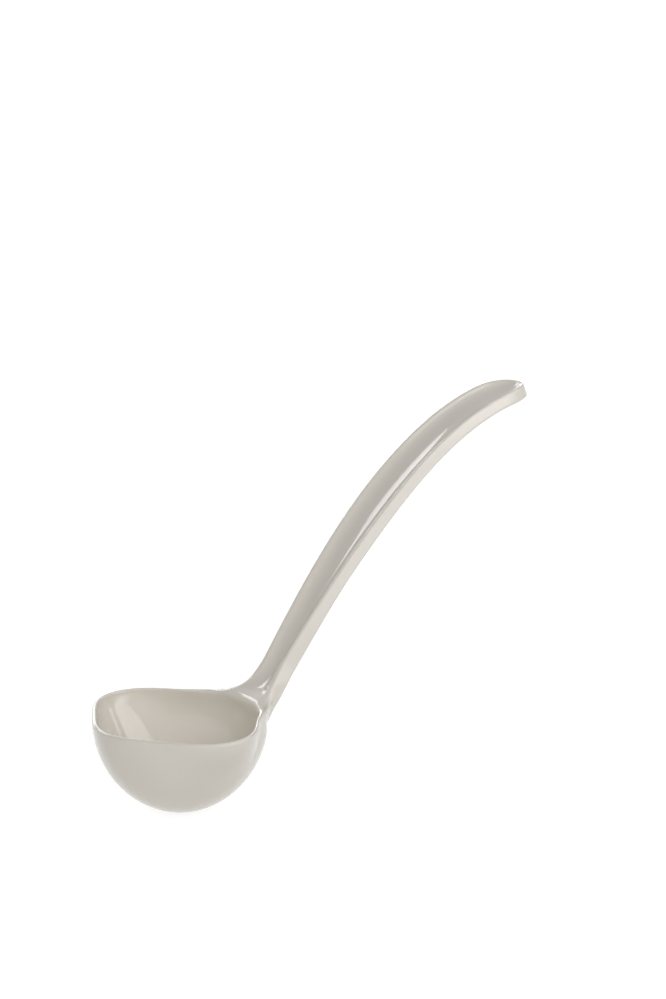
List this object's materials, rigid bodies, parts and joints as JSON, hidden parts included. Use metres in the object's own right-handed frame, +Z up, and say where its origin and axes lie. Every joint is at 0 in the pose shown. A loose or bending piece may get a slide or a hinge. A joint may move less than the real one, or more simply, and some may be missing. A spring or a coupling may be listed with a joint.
{
  "type": "sauce ladle",
  "caption": "Sauce ladle moulded in one piece: a deep round bowl with a rounded-square rim and a slim handle that rises from it in an arch, with a trough along its top.",
  "frame": {"origin": "centre of the flat spot at the bottom of the bowl, on the bowl's upright axis", "axes": "+X from the bowl towards the handle, +Y across the ladle, +Z up with the rim level; the plane Y = 0 is the plane of symmetry"},
  "size_m": [0.1834, 0.0682, 0.1243],
  "materials": {
    "moulding": "gloss"
  },
  "bodies": {
    "root": {"bowl": "moulding", "handle": "moulding"}
  },
  "joints": []
}
